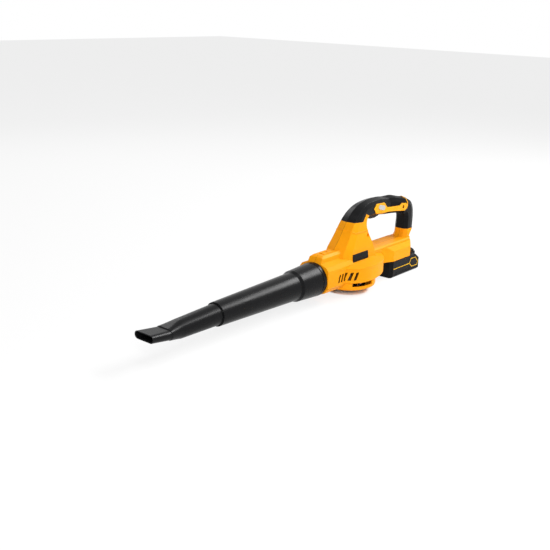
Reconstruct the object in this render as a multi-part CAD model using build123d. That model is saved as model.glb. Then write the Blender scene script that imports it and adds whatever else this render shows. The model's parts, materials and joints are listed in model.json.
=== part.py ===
from build123d import *
import math
import os

# Cordless leaf blower. Millimetres, +Z up.
# The origin is on the fan's axis, in the plane that the blower stands on.
# The air tube leaves towards -X, the battery slides out towards +X, and the seam is the plane Y = 0.

# ---------------------------------------------------------------- walls, gaps and screws
SHELL = 2.5            # wall of the moulded housings
SKIN = 2.0             # grip skin over the handle core
TRIM = 1.2             # thickness of plates laid on the skin
FIT = 0.3              # gap between parts that slide or turn past each other
SEAT = 0.05            # gap round parts that are assembled and stay put
SCREW_R = 1.7
SCREW_HEAD_R = 3.4
SCREW_HEAD_T = 2.4
SCREW_REACH = 9.0      # how far a housing screw passes the seam
BOSS_R = 6.0

# ---------------------------------------------------------------- air tube
AXIS_Z = 48.0          # height of the tube's axis
OUTLET_X = -119.0      # where the tube's collar meets the housing
SPIGOT_LEN = 40.0      # housing socket that the collar slides over
SPIGOT_R = 31.0
TUBE_WALL = 1.8
COLLAR_R = 36.0
COLLAR_LEN = 69.5
COLLAR_FRONT_R = 32.6
COLLAR_STEP = 7.0      # slope from the collar down to the tube
GROOVE_AT = 10.0       # ring groove ahead of the collar's rear lip
GROOVE_W = 2.2
GROOVE_DEPTH = 1.2
TUBE_REAR_R = 29.2
TUBE_FRONT_R = 23.4
TUBE_LEN = 217.5       # tube ahead of the collar's slope
NOZZLE_TUCK = 34.0     # length of nozzle inside the tube
NOZZLE_SHOULDER = 0.5  # step from the part inside the tube down to the part outside it
NOZZLE_ROUND_LEN = 95.0
NOZZLE_MID_W = 38.5
NOZZLE_MID_H = 34.8
NOZZLE_MID_DROP = 1.6  # the nozzle's middle lies this much below the tube's axis there
NECK_LEN = 31.0        # from the round part to the flat tip
NECK_STEPS = 3
THROAT_W = 43.0
THROAT_H = 21.0        # height of the nozzle just behind its flat tip
THROAT_DROP = 0.7
TIP_LEN = 46.0
TIP_W = 47.0
TIP_H = 15.0
TIP_STEP = 1.5         # step from the neck down to the flat tip
TIP_RISE = 5.4         # the flat tip bends up by this much

# ---------------------------------------------------------------- fan drum and duct
DRUM_A = 104.0         # from the fan's axis to the drum's rear end
DRUM_FRONT_A = 70.0    # from the fan's axis to where its front would close
DRUM_B = 65.0          # half width
DRUM_BOTTOM = 30.0
DRUM_TOP = 63.5
DRUM_EDGE = 3.0
SHOULDER_Z = 70.0
SHOULDER_A = 80.0
SHOULDER_FRONT_A = 66.0
SHOULDER_B = 38.0
DUCT_SECTION = [(15.0, -32.0), (30.0, -25.5), (37.5, -15.0), (37.5, 21.5), (32.0, 29.0), (17.0, 35.0)]
DUCT_RISE = 6.0        # how far the duct's floor rises from the collar to the bowl
DUCT_END_X = -30.0
SPINE_W = 17.0         # raised rib over the duct that holds the tube lock
SPINE_BEVEL = 5.0
SPINE_TOP = 97.0
INTAKE_R = 40.0        # round air hole under the fan

# ---------------------------------------------------------------- intake bowl and grille
BOWL_R = 63.0
BOWL_SIDE_Z = 19.0
BOWL_BASE_Z = 8.0      # the bowl's rim; the domed guard in it reaches down to the ground
BOWL_BASE_R = 46.0
BOWL_HOLE_R = 37.0
BOWL_WALL = 2.4
BOWL_SLOT_ANGLE = 50.0  # air gap in each side of the bowl, below the drum's floor
BOWL_SLOT_TURN = 108.0  # bearing of the gaps
BOWL_SLOT_Z = 22.0       # their lower edge
GRILLE_R = 41.5
GRILLE_HUB_R = 9.0
GRILLE_T = 2.4
GRILLE_BAR = 2.0
GRILLE_BARS = 6
GRILLE_RINGS = 3
BOWL_SCREWS = 3
LUG_IN = 7.5           # screw lugs, inwards from the bowl's side
SEAT_Z = 17.0          # where the intake screws' heads seat

# ---------------------------------------------------------------- vents in the drum's sides
VENTS = 5
VENT_FIRST_X = -79.0
VENT_PITCH = 9.7
VENT_W = 4.4
VENT_H = 18.0
VENT_LEAN = 16.0

# ---------------------------------------------------------------- deck and battery dock
DECK_Z = 78.0
DECK_W = 24.0
DOCK_W = 38.0
DOCK_FRONT_X = 96.0
DOCK_SIDE_X = 128.0    # where the dock reaches its full width
DOCK_REAR_SIDE_X = 198.0
DOCK_REAR_X = 225.0
DOCK_REAR_LOW_X = 212.0
DOCK_REAR_W = 16.0
DOCK_BOTTOM = 40.0
DOCK_SIDE_TOP = 63.5
DOCK_SLOPE_TOP = 74.0
DOCK_SLOPE_W = 30.0

RAIL_T = 4.0

# ---------------------------------------------------------------- battery pack
PACK_FRONT_X = 122.0
PACK_LEN = 124.0
PACK_W = 38.0          # half width
PACK_SPLIT_Z = 22.0
PACK_GAP = 0.6         # between the pack's top and the dock
PACK_CORNER = 7.0
PACK_WALL = 2.3
PACK_REAR_TOP = (24.0, 17.0)     # slope cut off the upper rear edge: length and drop
PACK_REAR_LOW = (9.0, 8.0)       # and off the lower rear edge
NECK_W = 27.0          # half width of the rail block on top of the pack
NECK_WAIST = 23.0      # half width in its rail grooves
NECK_FRONT_X = 132.0
NECK_REAR_X = 211.0
NECK_TOP = 54.0
CELL_R = 9.1
CELL_LEN = 65.0
CELL_COLUMNS = 5
CELL_PITCH = 18.3
CELL_START = 16.0      # axis of the first cell behind the pack's front
CONTACTS = 4
CONTACT_PITCH = 11.0
BLADE_T = 0.8
BLADE_LEN = 16.0
BLADE_H = 6.0
TRIM_Z = 20.5          # coloured line along the pack's sides
TRIM_LOOP = [(198.0, 20.5), (205.0, 31.0), (224.0, 30.5), (236.0, 17.5), (232.0, 11.0), (209.5, 11.0)]
TRIM_LINE_W = 1.6
TRIM_DEPTH = 1.0
BUTTON_FRONT_X = 222.5
BUTTON_LEN = 18.5
BUTTON_W = 22.0        # half width
BUTTON_TOP = 50.0
BUTTON_STEP = 6.0      # height of the step at its rear
BUTTON_TRAVEL = 3.0

# ---------------------------------------------------------------- fan and motor
FAN_R = 53.0
FAN_BOTTOM = 35.5
FAN_TOP = 56.5
FAN_DISC = 1.8
FAN_BLADES = 9
FAN_BLADE_T = 1.8
FAN_HUB_R = 12.0
FAN_EYE_R = 33.0
SHAFT_R = 2.5
PLATE_Z = 59.0
PLATE_T = 3.0
MOTOR_R = 20.0
MOTOR_WALL = 1.5
MOTOR_LEN = 50.0
BEARING_R = 6.5
BEARING_T = 5.0
ROTOR_R = 11.0
STATOR_R = 11.6
STATOR_TEETH = 6
MOTOR_SCREW_RING = 13.5

# ---------------------------------------------------------------- handle loop, one row for each section
# outer x, outer z, inner x, inner z, half width, half width at the outer corner, corner drop, crown
HANDLE = [
    (-61.0, 62.0, 70.0, 62.0, 37.0, 25.0, 17.0, 8.0),
    (-45.5, 94.0, 56.0, 96.0, 31.0, 23.3, 20.0, 8.5),
    (-26.5, 122.0, 43.0, 126.0, 25.5, 21.0, 21.0, 6.0),
    (-8.0, 148.0, 42.0, 143.0, 21.0, 18.5, 17.0, 5.0),
    (17.0, 171.0, 50.0, 152.0, 19.0, 16.0, 12.0, 4.5),
    (56.0, 184.0, 68.0, 152.5, 17.5, 13.0, 9.0, 4.0),
    (106.0, 184.0, 107.0, 149.0, 17.0, 12.0, 9.0, 4.0),
    (160.0, 179.0, 155.0, 144.0, 17.0, 12.0, 9.0, 4.0),
    (203.0, 169.0, 188.0, 139.5, 17.0, 12.0, 9.0, 4.0),
    (225.0, 161.0, 201.0, 135.0, 17.0, 12.5, 9.0, 4.0),
    (234.5, 144.0, 206.5, 126.0, 17.0, 14.0, 11.0, 3.5),
    (236.0, 118.0, 207.0, 112.0, 17.0, 15.0, 11.0, 3.0),
    (234.5, 94.0, 205.0, 93.0, 17.5, 15.0, 11.0, 3.0),
    (225.0, 74.0, 197.0, 74.0, 18.0, 14.0, 10.0, 2.0),
]
HANDLE_STEP = 27.0     # spacing of the sections drawn through those rows
# edge of the black covers in side view, from the front post round to the rear post
COVER_EDGE = [(-60.0, 154.5), (22.0, 148.0), (35.0, 163.0), (48.0, 157.0), (62.0, 130.0),
              (170.0, 110.0), (190.0, 98.0), (260.0, 96.0), (260.0, 220.0), (-60.0, 220.0)]
CAP_END_X = 131.0      # joint between the hard front cover and the soft grip
GRIP_END_X = 198.0     # joint between the soft grip and the rear cover
COVER_END_X = 260.0

# ---------------------------------------------------------------- trigger, switch and lock
TRIGGER_PIVOT = (62.0, 159.0)
TRIGGER_W = 8.0        # half width
TRIGGER_SIDE = [(56.0, 162.0), (54.5, 155.0), (60.0, 148.0), (70.0, 144.5), (86.0, 144.0), (98.0, 146.5),
                (101.0, 154.2), (78.0, 157.2), (68.0, 162.0)]
ARM_Z = (154.2, 157.2)   # flat arm behind the trigger, under the lock and the switch
ARM_END_X = 128.0
ARM_W = 4.0            # half width
TRIGGER_SLOT = (53.0, 103.0)
PIN_R = 1.5
PIN_HALF = 12.0
PLUNGER_X = 124.0
PLUNGER_R = 2.0
SWITCH_X = (115.0, 141.0)
SWITCH_Z = (167.0, 176.0)
SWITCH_W = 7.5         # half width
LOCK_X = 95.5
LOCK_Z = 167.5
LOCK_LEN = 25.0
LOCK_H = 10.5
LOCK_TILT = -14.0
LOCK_PROUD = 1.6
LOCK_TRAVEL = 2.0

# ---------------------------------------------------------------- plates on the skin (side view)
FRAME_SIDE = [(65.0, 169.0), (75.0, 178.5), (106.0, 177.0), (118.0, 164.5), (170.0, 160.0), (179.0, 164.5),
              (198.0, 161.5), (205.0, 155.0), (203.0, 149.5), (193.0, 144.5), (160.0, 149.0), (121.0, 154.0),
              (105.0, 151.5), (76.0, 156.0)]
STRIPE_X = (203.0, 205.0)
STRIPE_Z = 155.0
LABEL_SIDE = [(-29.0, 70.5), (29.0, 70.5), (27.0, 87.0), (-28.0, 87.0)]

# ---------------------------------------------------------------- tube lock
LATCH_X = (-96.0, -68.0)
LATCH_W = 6.5          # half width
LATCH_PROUD = 1.5
LATCH_TRAVEL = 2.5
LATCH_T = 7.0

# ---------------------------------------------------------------- housing screws
# x, z, depth of the head's seat, and the side of the head: -1 left, 1 right
SCREWS = [(34.0, 118.0, 12.0, -1), (-30.0, 109.0, 12.0, 1), (186.5, 154.5, 11.0, -1), (214.0, 84.0, 11.0, 1),
          (112.0, 62.0, 12.0, 1)]

# ---------------------------------------------------------------- board, terminal block and leads
BOARD_X = (0.0, 34.0)
BOARD_Y = 4.7
BOARD_Z = (125.0, 145.0)
TERMINAL_GAP = 3.0     # between the terminal block and the battery's neck
TERMINAL_LEN = 9.0
LEAD_R = 0.9

PACK_TOP = DOCK_BOTTOM - PACK_GAP
TERMINAL_X = NECK_FRONT_X - TERMINAL_GAP - TERMINAL_LEN
TERMINAL_TOP = NECK_TOP + 4
MOTOR_BOTTOM = PLATE_Z + PLATE_T
MOTOR_TOP = MOTOR_BOTTOM + MOTOR_LEN
SEAM = 300.0


# ================================================================ helpers
def box(x, y, z):
    """A box given by its lowest and highest x, y and z."""
    centre = ((x[0] + x[1]) / 2, (y[0] + y[1]) / 2, (z[0] + z[1]) / 2)
    return Pos(*centre) * Box(x[1] - x[0], y[1] - y[0], z[1] - z[0])


def disc(radius, z, x=0.0, y=0.0):
    """A cylinder along Z between two heights."""
    return Pos(x, y, (z[0] + z[1]) / 2) * Cylinder(radius, z[1] - z[0])


def cross_pin(radius, x, z, y):
    """A cylinder along Y between two values of y."""
    return Pos(x, (y[0] + y[1]) / 2, z) * Rot(X=90) * Cylinder(radius, y[1] - y[0])


def tube_along_x(radius, x):
    """A cylinder on the air tube's axis."""
    return Pos((x[0] + x[1]) / 2, 0, AXIS_Z) * Rot(Y=90) * Cylinder(radius, x[1] - x[0])


def side_prism(points, half):
    """A side view outline (x, z), extruded by half to each side of the seam."""
    face = Plane.XZ * Polygon(*points, align=None)
    return extrude(face, half, both=True)


def end_prism(points, x):
    """An end view outline (y, z), extruded from one x to the other."""
    plane = Plane(origin=(x[0], 0, 0), x_dir=(0, 1, 0), z_dir=(1, 0, 0))
    return extrude(plane * Polygon(*points, align=None), x[1] - x[0], dir=(1, 0, 0))


def plan_prism(points, z):
    """A plan view outline (x, y), extruded from one height to the other."""
    return extrude(Pos(0, 0, z[0]) * Polygon(*points, align=None), z[1] - z[0], dir=(0, 0, 1))


def mirrored(points):
    """Close an end view outline (y, z) by its mirror image."""
    return points + [(-y, z) for y, z in reversed(points)]


def plan_mirrored(points):
    """Close a plan view outline (x, y) by its mirror image."""
    return points + [(x, -y) for x, y in reversed(points)]


def left_of(solid):
    return solid & box((-SEAM, SEAM), (-SEAM, 0), (-SEAM, SEAM))


def right_of(solid):
    return solid & box((-SEAM, SEAM), (0, SEAM), (-SEAM, SEAM))


def ring_of(solid, count):
    """Copies of a solid, evenly spaced about the fan's axis."""
    return [Rot(Z=360 * i / count) * solid for i in range(count)]


def bowl_ring(solid):
    """Copies for the bowl's screws, which stand between its air gaps."""
    return [Rot(Z=180 / BOWL_SCREWS) * copy for copy in ring_of(solid, BOWL_SCREWS)]


def save(node, shape):
    """Write one node, as one solid or as a group of separate solids."""
    solids = shape if isinstance(shape, list) else [shape]
    flat = [s for part in solids for s in part.solids()]
    out = flat[0] if len(flat) == 1 else Compound(children=flat)
    out.label = node
    export_step(out, f"parts/{node}.step")
    print(node, len(flat), round(sum(s.volume for s in flat)))


# ================================================================ handle loop
def handle_rows():
    """Smooth rows through the handle's rows, at even steps along the loop."""
    def middle(row):
        return Vector((row[0] + row[2]) / 2, 0, (row[1] + row[3]) / 2)

    gaps = [(middle(b) - middle(a)).length for a, b in zip(HANDLE, HANDLE[1:])]
    last = len(HANDLE) - 1
    slopes = []
    for i, row in enumerate(HANDLE):
        before, after = max(i - 1, 0), min(i + 1, last)
        span = sum(gaps[before:after])
        slopes.append([(b - a) / span for a, b in zip(HANDLE[before], HANDLE[after])])
    count = round(sum(gaps) / HANDLE_STEP)
    rows = []
    for k in range(count + 1):
        place = sum(gaps) * k / count
        i = 0
        while i < last - 1 and place > gaps[i]:
            place -= gaps[i]
            i += 1
        gap = gaps[i]
        t = min(place / gap, 1.0)
        start = 2 * t**3 - 3 * t**2 + 1
        end = 3 * t**2 - 2 * t**3
        lead = (t**3 - 2 * t**2 + t) * gap
        trail = (t**3 - t**2) * gap
        pair = zip(HANDLE[i], HANDLE[i + 1], slopes[i], slopes[i + 1])
        rows.append([a * start + b * end + u * lead + v * trail for a, b, u, v in pair])
    return rows


def handle_section(row, inset):
    """One nine-sided section of the handle loop, drawn inwards by inset."""
    outer_x, outer_z, inner_x, inner_z, half, corner_half, drop, crown = row
    height = math.hypot(outer_x - inner_x, outer_z - inner_z)
    up = Vector((outer_x - inner_x) / height, 0, (outer_z - inner_z) / height)
    plane = Plane(origin=(inner_x, 0, inner_z), x_dir=(0, 1, 0), z_dir=(up.Z, 0, -up.X))
    wide = half - inset
    top = height - inset
    corner = corner_half - inset * 0.6
    low = half * 0.62 - inset * 0.6
    shoulder = [(wide, inset + 7), (wide, top - drop), (corner, top)]
    points = [(low, inset)] + shoulder + [(0, top + crown)]
    points += [(-y, s) for y, s in reversed(shoulder)] + [(-low, inset)]
    return plane * Polygon(*points, align=None)


def handle_loop(inset):
    return loft([handle_section(row, inset) for row in handle_rows()])


# ================================================================ housing
def drum_face(rear, front, half):
    """Plan of the drum: a long half oval behind the fan's axis and a short one ahead of it."""
    long_part = Ellipse(rear, half) & Pos(SEAM / 2, 0) * Rectangle(SEAM, SEAM)
    short_part = Ellipse(front, half) & Pos(-SEAM / 2, 0) * Rectangle(SEAM, SEAM)
    return long_part + short_part


def drum(inset):
    """The fan drum with its sloping shoulder, drawn inwards by inset."""
    face = drum_face(DRUM_A - inset, DRUM_FRONT_A - inset, DRUM_B - inset)
    low, high = DRUM_BOTTOM + inset, DRUM_TOP - inset * 0.5
    band = extrude(Pos(0, 0, low) * face, high - low, dir=(0, 0, 1))
    if inset == 0:
        band = chamfer(band.edges().group_by(Axis.Z)[0], DRUM_EDGE)
    top = drum_face(SHOULDER_A - inset, SHOULDER_FRONT_A - inset, SHOULDER_B - inset)
    return band + loft([Pos(0, 0, high) * face, Pos(0, 0, SHOULDER_Z - inset) * top], ruled=True)


def duct(inset, x):
    """The many-sided outlet duct, whose floor rises towards the fan."""
    half = []
    for y, z in DUCT_SECTION:
        reach = math.hypot(y, z)
        half.append((y * (1 - inset / reach), AXIS_Z + z * (1 - inset / reach)))
    floor = half[0][1]
    side = side_prism([(OUTLET_X, floor), (OUTLET_X + 60, floor + DUCT_RISE), (DUCT_END_X + 9, floor + DUCT_RISE),
                       (DUCT_END_X + 9, AXIS_Z + DRUM_B), (OUTLET_X, AXIS_Z + DRUM_B)], DRUM_B)
    return end_prism(mirrored(half), x) & side


def spine():
    """The rib over the duct, from the collar to the front post, with a rounded nose."""
    base = AXIS_Z + DUCT_SECTION[-1][1]
    half = [(SPINE_W, base - 6), (SPINE_W, SPINE_TOP - SPINE_BEVEL), (SPINE_W - SPINE_BEVEL, SPINE_TOP)]
    nose = side_prism([(OUTLET_X, 70), (OUTLET_X, base), (OUTLET_X + 6, SPINE_TOP - 3), (OUTLET_X + 15, SPINE_TOP + 1),
                       (DUCT_END_X, SPINE_TOP + 1), (DUCT_END_X, 70)], SPINE_W + 1)
    return end_prism(mirrored(half), (OUTLET_X, DUCT_END_X)) & nose


def dock(inset):
    """The battery dock and the deck that runs over it."""
    i = inset
    start = DRUM_A * 0.4
    bulge = [(DOCK_W - i, DOCK_BOTTOM), (DOCK_W - i, DOCK_SIDE_TOP - i * 0.3),
             (DOCK_SLOPE_W - i, DOCK_SLOPE_TOP - i * 0.6)]
    deck = [(DECK_W - i, DOCK_BOTTOM), (DECK_W - i, DECK_Z - 3 - i), (DECK_W - 3 - i, DECK_Z - i)]
    body = end_prism(mirrored(bulge), (start, DOCK_REAR_X)) + end_prism(mirrored(deck), (start, DOCK_REAR_X))
    plan = [(start, DECK_W - i), (DOCK_FRONT_X, DECK_W - i), (DOCK_SIDE_X, DOCK_W - i),
            (DOCK_REAR_SIDE_X - i * 0.5, DOCK_W - i), (DOCK_REAR_X - i, DOCK_REAR_W)]
    top = plan_prism(plan_mirrored(plan), (DOCK_BOTTOM, DECK_Z))
    side = side_prism([(start, DOCK_BOTTOM), (DOCK_REAR_LOW_X - i, DOCK_BOTTOM),
                       (DOCK_REAR_X - i, DECK_Z), (start, DECK_Z)], SEAM)
    return body & top & side


def vents():
    """Leaning slots through both sides of the drum."""
    slots = []
    for i in range(VENTS):
        x = VENT_FIRST_X + i * VENT_PITCH
        face = Pos(x, 0, (DRUM_BOTTOM + DRUM_TOP) / 2) * Rot(Y=VENT_LEAN) * Rot(X=90) * SlotOverall(
            VENT_H, VENT_W, rotation=90)
        slots.append(extrude(face, DRUM_B + 1, both=True))
    return slots


def screw_shape(screw, head, shank, gap):
    """A housing screw, or the hole for it, with the head on its own side."""
    x, z, seat, side = screw
    top = -seat - (DRUM_B if gap else SCREW_HEAD_T)
    parts = cross_pin(head, x, z, (top, -seat)) + cross_pin(shank, x, z, (-seat - gap, SCREW_REACH + gap))
    return parts if side < 0 else mirror(parts, Plane.XZ)


def lock_hole(gap):
    face = Pos(LOCK_X, 0, LOCK_Z) * Rot(Y=-LOCK_TILT) * Rot(X=90) * SlotOverall(LOCK_LEN + 2 * gap,
                                                                             LOCK_H + 2 * gap)
    return extrude(face, 30, both=True)


def trigger_slot():
    y = TRIGGER_W + FIT
    return box(TRIGGER_SLOT, (-y, y), (130, TRIGGER_PIVOT[1] + 3))


def make_housing(outer, core, hollow, covered):
    """Both housing halves, as one closed body that is split at the seam."""
    solid = duct(0, (OUTLET_X, DUCT_END_X)) - disc(BOWL_R + FIT, (0, DRUM_BOTTOM))
    solid = solid + drum(0) + spine() + dock(0)
    solid += outer - covered
    solid += core & covered
    inside = duct(SHELL, (OUTLET_X + SHELL, DUCT_END_X + 8))
    inside = inside - disc(BOWL_R + FIT + SHELL, (0, DRUM_BOTTOM + SHELL)) + drum(SHELL)
    inside += dock(SHELL) & box((0, SEAM), (-SEAM, SEAM), (DOCK_BOTTOM + RAIL_T, SEAM))
    bosses = [cross_pin(BOSS_R, x, z, (-DOCK_W, DOCK_W)) & solid for x, z, seat, side in SCREWS]
    spigot = tube_along_x(SPIGOT_R, (OUTLET_X - SPIGOT_LEN, OUTLET_X + 1))
    bore = tube_along_x(SPIGOT_R - TUBE_WALL, (OUTLET_X - SPIGOT_LEN - 1, OUTLET_X + SHELL + 1))
    solid = solid + spigot - bore - (inside + hollow)
    for boss in bosses:
        solid += boss
    solid -= disc(INTAKE_R, (DRUM_BOTTOM - 1, DRUM_BOTTOM + SHELL + 1))
    pads = bowl_ring(disc(4.2, (DRUM_BOTTOM, DRUM_BOTTOM + SHELL + 2), BOWL_R - LUG_IN))
    pilots = bowl_ring(disc(SCREW_R + SEAT, (0, DRUM_BOTTOM + SHELL + 1), BOWL_R - LUG_IN))
    for pad in pads:
        solid += pad
    for cut in pilots + vents():
        solid -= cut
    # channel that the battery's neck slides out through
    waist, wide = NECK_WAIST + FIT, NECK_W + FIT
    solid -= box((NECK_FRONT_X - 6, SEAM), (-waist, waist), (DOCK_BOTTOM - 1, DOCK_BOTTOM + RAIL_T + 1))
    solid -= box((NECK_FRONT_X - 6, SEAM), (-wide, wide), (DOCK_BOTTOM + RAIL_T, NECK_TOP + FIT))
    pin_end = PIN_HALF + SEAT
    solid -= cross_pin(PIN_R + SEAT, TRIGGER_PIVOT[0], TRIGGER_PIVOT[1], (-pin_end, pin_end))
    solid = solid - trigger_slot() - lock_hole(FIT) - latch_space()
    for screw in SCREWS:
        solid -= screw_shape(screw, SCREW_HEAD_R + 0.5, SCREW_R + 0.15, 1)
    save("left_housing", left_of(solid))
    save("right_housing", right_of(solid))


# ================================================================ covers, trigger frame and label
def save_pair(name, left):
    """A left piece, with its screw head pockets, and its mirror image on the right."""
    pocket = cross_pin(SCREW_HEAD_R + 0.5, SCREWS[2][0], SCREWS[2][1], (-SEAM, -5))
    save(f"left_{name}", left - pocket)
    save(f"right_{name}", mirror(left, Plane.XZ))


def make_covers(outer, core, covered):
    """Hard front cover, soft grip and rear cover, each in two halves."""
    skin = (outer & covered) - core
    pin_end = PIN_HALF + SEAT
    skin -= cross_pin(PIN_R + SEAT, TRIGGER_PIVOT[0], TRIGGER_PIVOT[1], (-pin_end, pin_end))
    skin = skin - trigger_slot() - lock_hole(FIT)
    zones = {"front_cover": (-60, CAP_END_X), "grip": (CAP_END_X, GRIP_END_X),
             "rear_cover": (GRIP_END_X, COVER_END_X)}
    for name, x in zones.items():
        save_pair(name, left_of(skin & box(x, (-SEAM, SEAM), (0, SEAM))))


def make_plates(outer):
    """Yellow trigger frames with a thin stripe over the grip, and the blank side labels."""
    loop = handle_loop(-TRIM)
    stripe = box(STRIPE_X, (-SEAM, SEAM), (STRIPE_Z, SEAM))
    frame = (loop & (side_prism(FRAME_SIDE, 30) + stripe)) - outer
    save_pair("trigger_frame", left_of(frame - lock_hole(FIT)))
    save_pair("label", left_of((loop & side_prism(LABEL_SIDE, DRUM_B)) - outer))


# ================================================================ trigger group
def make_trigger():
    x, z = TRIGGER_PIVOT
    body = side_prism(TRIGGER_SIDE, TRIGGER_W)
    edges = [e for e in body.edges() if abs(e.center().Y) > TRIGGER_W - 0.1 and e.center().Z < 150]
    body = fillet(edges, 2.5)
    body += box((80, ARM_END_X), (-ARM_W, ARM_W), ARM_Z)
    save("trigger", body - cross_pin(PIN_R + 0.06, x, z, (-20, 20)))
    save("trigger_pin", cross_pin(PIN_R, x, z, (-PIN_HALF, PIN_HALF)))
    top = SWITCH_Z[0]
    low = ARM_Z[1] + FIT
    save("switch_plunger", disc(PLUNGER_R, (low, top + 1.5), PLUNGER_X))
    switch = box(SWITCH_X, (-SWITCH_W, SWITCH_W), SWITCH_Z)
    switch -= disc(PLUNGER_R + 0.08, (top - 1, top + 8), PLUNGER_X)
    save("trigger_switch", switch)
    save("trigger_spring", spring(3.4, 0.45, low, top - 0.1, PLUNGER_X, 0, 3))


def spring(radius, wire, z0, z1, x, y, turns):
    """A coil spring along Z."""
    rise = z1 - z0 - 2 * wire
    path = Helix(rise / turns, rise, radius)
    start = path @ 0
    section = Plane(origin=start, z_dir=path % 0) * Circle(wire)
    return Pos(x, y, z0 + wire) * sweep(section, path, is_frenet=True)


def make_lock():
    """Oval cross button of the speed lock, which slides through the grip."""
    half = HANDLE[6][4] + TRIM + LOCK_PROUD
    button = lock_hole(0) & box((-SEAM, SEAM), (-half, half), (0, SEAM))
    ends = [e for e in button.edges() if abs(e.center().Y) > half - 0.1]
    save("speed_lock", fillet(ends, 0.9))


# ================================================================ fan and motor
def make_fan():
    base = disc(FAN_R, (FAN_TOP - FAN_DISC, FAN_TOP))
    shroud = disc(FAN_R, (FAN_BOTTOM, FAN_BOTTOM + FAN_DISC)) - disc(FAN_EYE_R, (FAN_BOTTOM - 1, FAN_TOP))
    hub = disc(FAN_HUB_R, (FAN_BOTTOM + 4, FAN_TOP))
    fan = base + shroud + hub
    arc = ThreePointArc((FAN_HUB_R + 6, 0), (36, 9), (FAN_R - 1, 27))
    reach = (arc @ 1).length
    blade = extrude(Pos(0, 0, FAN_BOTTOM + 0.5) * trace(arc, FAN_BLADE_T), FAN_TOP - FAN_BOTTOM - 1)
    blade = blade & disc(min(reach, FAN_R - 0.5), (FAN_BOTTOM, FAN_TOP))
    for copy in ring_of(blade, FAN_BLADES):
        fan += copy
    save("impeller", fan - disc(SHAFT_R + SEAT, (0, SEAM)))
    nut = extrude(Pos(0, 0, FAN_BOTTOM) * RegularPolygon(4.6, 6), 3.9)
    save("impeller_nut", nut - disc(SHAFT_R + SEAT, (0, SEAM)))
    save("motor_shaft", disc(SHAFT_R, (FAN_BOTTOM - 1.5, MOTOR_TOP + 2)))


def make_motor():
    inner = MOTOR_R - MOTOR_WALL
    can = disc(MOTOR_R, (MOTOR_BOTTOM, MOTOR_TOP))
    can -= disc(inner, (MOTOR_BOTTOM + BEARING_T, MOTOR_TOP - BEARING_T))
    can -= disc(BEARING_R + SEAT, (0, SEAM))
    for slot in ring_of(box((8.5, 15.5), (-2, 2), (MOTOR_TOP - 7, MOTOR_TOP + 1)), 6):
        can -= slot
    holes = disc(SCREW_R, (MOTOR_BOTTOM - 1, MOTOR_BOTTOM + BEARING_T), MOTOR_SCREW_RING)
    for hole in ring_of(holes, 3):
        can -= hole
    save("motor_can", can)
    for name, z in (("lower_bearing", MOTOR_BOTTOM), ("upper_bearing", MOTOR_TOP - BEARING_T)):
        ring = disc(BEARING_R, (z, z + BEARING_T)) - disc(SHAFT_R + 0.04, (0, SEAM))
        save(name, ring)
    low, high = MOTOR_BOTTOM + 13, MOTOR_TOP - 13
    stator = disc(inner - SEAT, (low, high)) - disc(STATOR_R, (0, SEAM))
    for gap in ring_of(box((STATOR_R + 1.5, inner - 2), (-2.2, 2.2), (low - 1, high + 1)), STATOR_TEETH):
        stator -= gap
    save("motor_stator", stator)
    ends = []
    for z in (low - 4, high):
        ends.append(disc(inner - 1.5, (z, z + 4)) - disc(STATOR_R + 1, (0, SEAM)))
    save("motor_windings", ends)
    rotor = disc(ROTOR_R, (low - 2, high + 2)) - disc(SHAFT_R + SEAT, (0, SEAM))
    save("motor_rotor", rotor)


def make_plate():
    """Plate between the fan chamber and the motor, with the wall that closes the duct behind."""
    gap = SHELL + SEAT
    face = drum_face(DRUM_A - gap, DRUM_FRONT_A - gap, DRUM_B - gap)
    plate = extrude(Pos(0, 0, PLATE_Z) * face, PLATE_T, dir=(0, 0, 1))
    wall = DUCT_END_X - 14
    plate -= box((-SEAM, wall), (-SEAM, SEAM), (0, SEAM))
    above = box((-SEAM, SEAM), (-SEAM, SEAM), (PLATE_Z, SEAM))
    plate += duct(SHELL + FIT, (wall, wall + PLATE_T)) & above
    bosses = [disc(5.0, (DRUM_BOTTOM + SHELL + SEAT, PLATE_Z), x, y) for x, y in ((78, 30), (78, -30))]
    for boss in bosses:
        plate += boss
    plate -= disc(BEARING_R + 1.5, (0, SEAM))
    holes = disc(SCREW_R + 0.15, (0, SEAM), MOTOR_SCREW_RING)
    for hole in ring_of(holes, 3):
        plate -= hole
    for x, z, seat, side in SCREWS:
        plate -= cross_pin(BOSS_R + FIT, x, z, (-SEAM, SEAM))
    save("fan_chamber_plate", plate)
    screw = disc(SCREW_R - 0.05, (PLATE_Z, MOTOR_BOTTOM + 4.5), MOTOR_SCREW_RING)
    screw += disc(2.9, (PLATE_Z - 1.6, PLATE_Z), MOTOR_SCREW_RING)
    save("motor_screws", ring_of(screw, 3))


# ================================================================ intake
def bowl_profile(wall):
    """Half section of the bowl's outside, or of its inside when wall is given."""
    top, base = DRUM_BOTTOM, BOWL_BASE_Z + wall
    points = [(0, base), (BOWL_BASE_R - wall * 0.5, base), (BOWL_BASE_R + 6 - wall * 0.8, base + 2),
              (BOWL_R - 1.2 - wall, BOWL_SIDE_Z - 4), (BOWL_R - wall, BOWL_SIDE_Z), (BOWL_R - wall, top),
              (0, top)]
    return Plane.XZ * Polygon(*points, align=None)


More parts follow.
